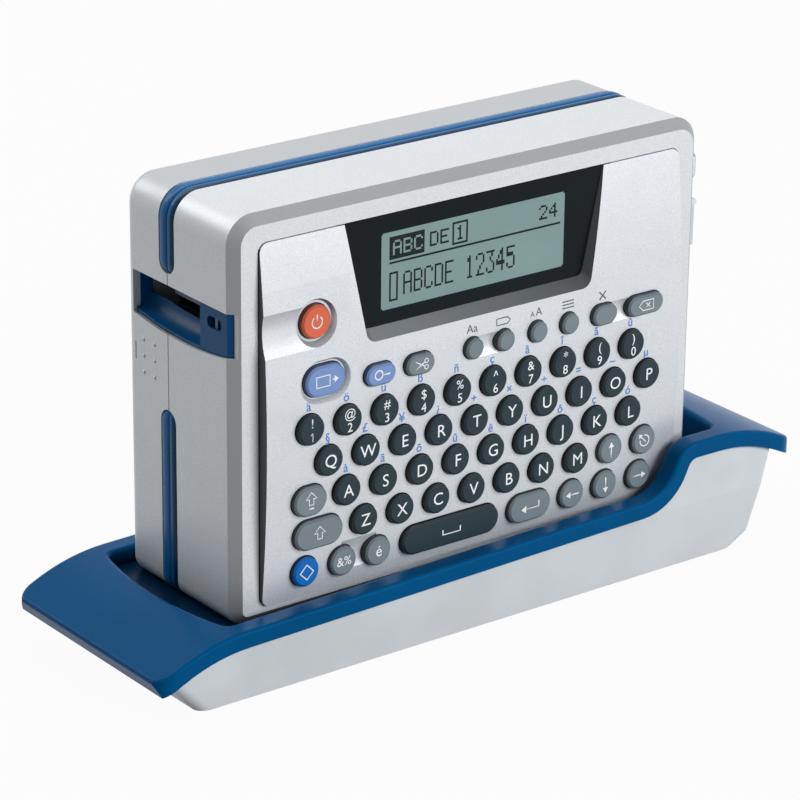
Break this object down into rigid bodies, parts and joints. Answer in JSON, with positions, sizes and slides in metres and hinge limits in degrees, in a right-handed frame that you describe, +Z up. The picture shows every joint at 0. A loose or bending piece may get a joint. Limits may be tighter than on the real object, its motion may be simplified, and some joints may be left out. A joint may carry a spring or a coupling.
{
  "type": "label maker",
  "caption": "Desktop label maker with a keyboard, display and side label exit, standing in a charger cradle with drooping wings.",
  "frame": {"origin": "on the table, under the middle of the cradle's plan outline", "axes": "+X to the right along the keyboard, +Y from the keys to the back, +Z up; the keys face -Y"},
  "size_m": [0.2352, 0.076, 0.1403],
  "materials": {
    "cradle_grey": "fine satin moulding",
    "cradle_blue": "semi-gloss moulding",
    "trim_blue": "semi-gloss moulding",
    "silver_case": "silver metallic paint",
    "panel_silver": "pale silver paint with fine grain",
    "display_black": "gloss black bezel",
    "lcd_green": "grey-green display",
    "key_slate": "satin dark slate",
    "key_grey": "satin mid grey",
    "code_blue": "satin strong blue",
    "print_lavender": "satin lavender blue",
    "power_orange": "satin orange red",
    "mat_rubber": "matte silicone",
    "black_rubber": "matte rubber",
    "grey_rubber": "matte silver-grey flap",
    "black_plastic": "matte black moulding",
    "board": "solder mask",
    "steel": "plain steel",
    "aluminium": "plain aluminium",
    "contact_metal": "gold-plated contact",
    "brass_gear": "cut brass",
    "white_gear": "natural acetal",
    "battery_wrap": "shrink sleeve",
    "cassette_grey": "plain moulding",
    "tape_white": "wound label tape",
    "ribbon_black": "wound ink ribbon"
  },
  "bodies": {
    "cradle": {"cradle_base": "cradle_grey", "cradle_cover": "cradle_blue", "cradle_feet": "black_rubber", "cradle_screws": "steel", "cradle_board": "board", "contact_block": "black_plastic", "dc_inlet": "black_plastic"},
    "contact_pins": {"charge_pins": "contact_metal"},
    "label_maker": {"front_case": "silver_case", "rear_case": "silver_case", "case_screws": "steel", "trim_strips": "trim_blue", "keypad_panel": "panel_silver", "lcd_window": "display_black", "lcd_module": "lcd_green", "keypad_mat": "mat_rubber", "main_board": "board", "exit_tray": "trim_blue", "strap_bar": "steel", "charge_terminals": "contact_metal", "battery_pack": "battery_wrap", "print_chassis": "black_plastic", "print_head": "aluminium", "feed_motor": "steel", "fixed_blade": "steel", "cassette_case": "cassette_grey"},
    "door": {"cassette_door": "silver_case"},
    "release": {"release_button": "silver_case"},
    "port_flap": {"port_cover": "grey_rubber"},
    "platen": {"platen_roller": "black_rubber"},
    "idler": {"idler_gear": "white_gear"},
    "pinion": {"motor_pinion": "brass_gear"},
    "roll": {"tape_roll": "tape_white"},
    "supply_spool": {"ribbon_supply": "ribbon_black"},
    "takeup_spool": {"ribbon_takeup": "ribbon_black"},
    "cutter": {"moving_blade": "steel"},
    "power_key_body": {"power_key": "power_orange"},
    "print_key_body": {"print_key": "print_lavender"},
    "preview_key_body": {"preview_key": "print_lavender"},
    "cut_key_body": {"cut_key": "key_grey"},
    "text_key_body": {"text_key": "key_grey"},
    "label_key_body": {"label_key": "key_grey"},
    "size_key_body": {"size_key": "key_grey"},
    "tools_key_body": {"tools_key": "key_grey"},
    "clear_key_body": {"clear_key": "key_grey"},
    "backspace_key_body": {"backspace_key": "key_grey"},
    "caps_key_body": {"caps_key": "key_grey"},
    "shift_key_body": {"shift_key": "key_grey"},
    "up_key_body": {"up_key": "key_grey"},
    "escape_key_body": {"escape_key": "key_grey"},
    "code_key_body": {"code_key": "code_blue"},
    "symbol_key_body": {"symbol_key": "key_grey"},
    "accent_key_body": {"accent_key": "key_grey"},
    "space_key_body": {"space_key": "key_slate"},
    "return_key_body": {"return_key": "key_grey"},
    "left_key_body": {"left_key": "key_grey"},
    "down_key_body": {"down_key": "key_grey"},
    "right_key_body": {"right_key": "key_grey"},
    "digit_keys_body": {"digit_keys": "key_slate"},
    "letter_keys_body": {"letter_keys": "key_slate"}
  },
  "joints": [
    {"name": "dock_lift", "type": "slide", "parent": "cradle", "child": "label_maker", "axis": [0, 0, 1], "range_m": [0, 0.06]},
    {"name": "contact_press", "type": "slide", "parent": "cradle", "child": "contact_pins", "axis": [0, 0, -1], "range_m": [0, 0.0008], "stiffness_N_per_m": 600},
    {"name": "door_hinge", "type": "hinge", "parent": "label_maker", "child": "door", "pos_m": [0, 0.0261, 0.1288], "axis": [1, 0, 0], "range_deg": [0, 100]},
    {"name": "release_press", "type": "slide", "parent": "label_maker", "child": "release", "axis": [-1, 0, 0], "range_m": [0, 0.0018], "stiffness_N_per_m": 500},
    {"name": "flap_hinge", "type": "hinge", "parent": "label_maker", "child": "port_flap", "pos_m": [0.0856, -0.0155, 0.112], "axis": [0, -1, 0], "range_deg": [0, 100]},
    {"name": "platen_spin", "type": "hinge", "parent": "label_maker", "child": "platen", "pos_m": [-0.066, 0, 0.1009], "axis": [0, 1, 0], "continuous": true},
    {"name": "idler_spin", "type": "hinge", "parent": "label_maker", "child": "idler", "pos_m": [-0.066, 0, 0.0793], "axis": [0, 1, 0], "continuous": true},
    {"name": "pinion_spin", "type": "hinge", "parent": "label_maker", "child": "pinion", "pos_m": [-0.066, 0, 0.0625], "axis": [0, 1, 0], "continuous": true},
    {"name": "roll_spin", "type": "hinge", "parent": "label_maker", "child": "roll", "pos_m": [0.008, 0, 0.098], "axis": [0, 1, 0], "continuous": true},
    {"name": "supply_spin", "type": "hinge", "parent": "label_maker", "child": "supply_spool", "pos_m": [-0.03, 0, 0.086], "axis": [0, 1, 0], "continuous": true},
    {"name": "takeup_spin", "type": "hinge", "parent": "label_maker", "child": "takeup_spool", "pos_m": [-0.033, 0, 0.115], "axis": [0, 1, 0], "continuous": true},
    {"name": "cutter_stroke", "type": "slide", "parent": "label_maker", "child": "cutter", "axis": [0, 0, 1], "range_m": [0, 0.004]},
    {"name": "power_key_press", "type": "slide", "parent": "label_maker", "child": "power_key_body", "axis": [0, 1, 0], "range_m": [0, 0.0009], "stiffness_N_per_m": 1200},
    {"name": "print_key_press", "type": "slide", "parent": "label_maker", "child": "print_key_body", "axis": [0, 1, 0], "range_m": [0, 0.0009], "stiffness_N_per_m": 1200},
    {"name": "preview_key_press", "type": "slide", "parent": "label_maker", "child": "preview_key_body", "axis": [0, 1, 0], "range_m": [0, 0.0009], "stiffness_N_per_m": 1200},
    {"name": "cut_key_press", "type": "slide", "parent": "label_maker", "child": "cut_key_body", "axis": [0, 1, 0], "range_m": [0, 0.0009], "stiffness_N_per_m": 1200},
    {"name": "text_key_press", "type": "slide", "parent": "label_maker", "child": "text_key_body", "axis": [0, 1, 0], "range_m": [0, 0.0009], "stiffness_N_per_m": 1200},
    {"name": "label_key_press", "type": "slide", "parent": "label_maker", "child": "label_key_body", "axis": [0, 1, 0], "range_m": [0, 0.0009], "stiffness_N_per_m": 1200},
    {"name": "size_key_press", "type": "slide", "parent": "label_maker", "child": "size_key_body", "axis": [0, 1, 0], "range_m": [0, 0.0009], "stiffness_N_per_m": 1200},
    {"name": "tools_key_press", "type": "slide", "parent": "label_maker", "child": "tools_key_body", "axis": [0, 1, 0], "range_m": [0, 0.0009], "stiffness_N_per_m": 1200},
    {"name": "clear_key_press", "type": "slide", "parent": "label_maker", "child": "clear_key_body", "axis": [0, 1, 0], "range_m": [0, 0.0009], "stiffness_N_per_m": 1200},
    {"name": "backspace_key_press", "type": "slide", "parent": "label_maker", "child": "backspace_key_body", "axis": [0, 1, 0], "range_m": [0, 0.0009], "stiffness_N_per_m": 1200},
    {"name": "caps_key_press", "type": "slide", "parent": "label_maker", "child": "caps_key_body", "axis": [0, 1, 0], "range_m": [0, 0.0009], "stiffness_N_per_m": 1200},
    {"name": "shift_key_press", "type": "slide", "parent": "label_maker", "child": "shift_key_body", "axis": [0, 1, 0], "range_m": [0, 0.0009], "stiffness_N_per_m": 1200},
    {"name": "up_key_press", "type": "slide", "parent": "label_maker", "child": "up_key_body", "axis": [0, 1, 0], "range_m": [0, 0.0009], "stiffness_N_per_m": 1200},
    {"name": "escape_key_press", "type": "slide", "parent": "label_maker", "child": "escape_key_body", "axis": [0, 1, 0], "range_m": [0, 0.0009], "stiffness_N_per_m": 1200},
    {"name": "code_key_press", "type": "slide", "parent": "label_maker", "child": "code_key_body", "axis": [0, 1, 0], "range_m": [0, 0.0009], "stiffness_N_per_m": 1200},
    {"name": "symbol_key_press", "type": "slide", "parent": "label_maker", "child": "symbol_key_body", "axis": [0, 1, 0], "range_m": [0, 0.0009], "stiffness_N_per_m": 1200},
    {"name": "accent_key_press", "type": "slide", "parent": "label_maker", "child": "accent_key_body", "axis": [0, 1, 0], "range_m": [0, 0.0009], "stiffness_N_per_m": 1200},
    {"name": "space_key_press", "type": "slide", "parent": "label_maker", "child": "space_key_body", "axis": [0, 1, 0], "range_m": [0, 0.0009], "stiffness_N_per_m": 1200},
    {"name": "return_key_press", "type": "slide", "parent": "label_maker", "child": "return_key_body", "axis": [0, 1, 0], "range_m": [0, 0.0009], "stiffness_N_per_m": 1200},
    {"name": "left_key_press", "type": "slide", "parent": "label_maker", "child": "left_key_body", "axis": [0, 1, 0], "range_m": [0, 0.0009], "stiffness_N_per_m": 1200},
    {"name": "down_key_press", "type": "slide", "parent": "label_maker", "child": "down_key_body", "axis": [0, 1, 0], "range_m": [0, 0.0009], "stiffness_N_per_m": 1200},
    {"name": "right_key_press", "type": "slide", "parent": "label_maker", "child": "right_key_body", "axis": [0, 1, 0], "range_m": [0, 0.0009], "stiffness_N_per_m": 1200},
    {"name": "digit_keys_press", "type": "slide", "parent": "label_maker", "child": "digit_keys_body", "axis": [0, 1, 0], "range_m": [0, 0.0009], "stiffness_N_per_m": 1200},
    {"name": "letter_keys_press", "type": "slide", "parent": "label_maker", "child": "letter_keys_body", "axis": [0, 1, 0], "range_m": [0, 0.0009], "stiffness_N_per_m": 1200}
  ],
  "couplings": [
    {"joint": "idler_spin", "follows": "platen_spin", "ratio": -0.8},
    {"joint": "pinion_spin", "follows": "platen_spin", "ratio": 2},
    {"joint": "roll_spin", "follows": "platen_spin", "ratio": 0.19048},
    {"joint": "supply_spin", "follows": "platen_spin", "ratio": 0.44444},
    {"joint": "takeup_spin", "follows": "platen_spin", "ratio": 0.57143}
  ]
}
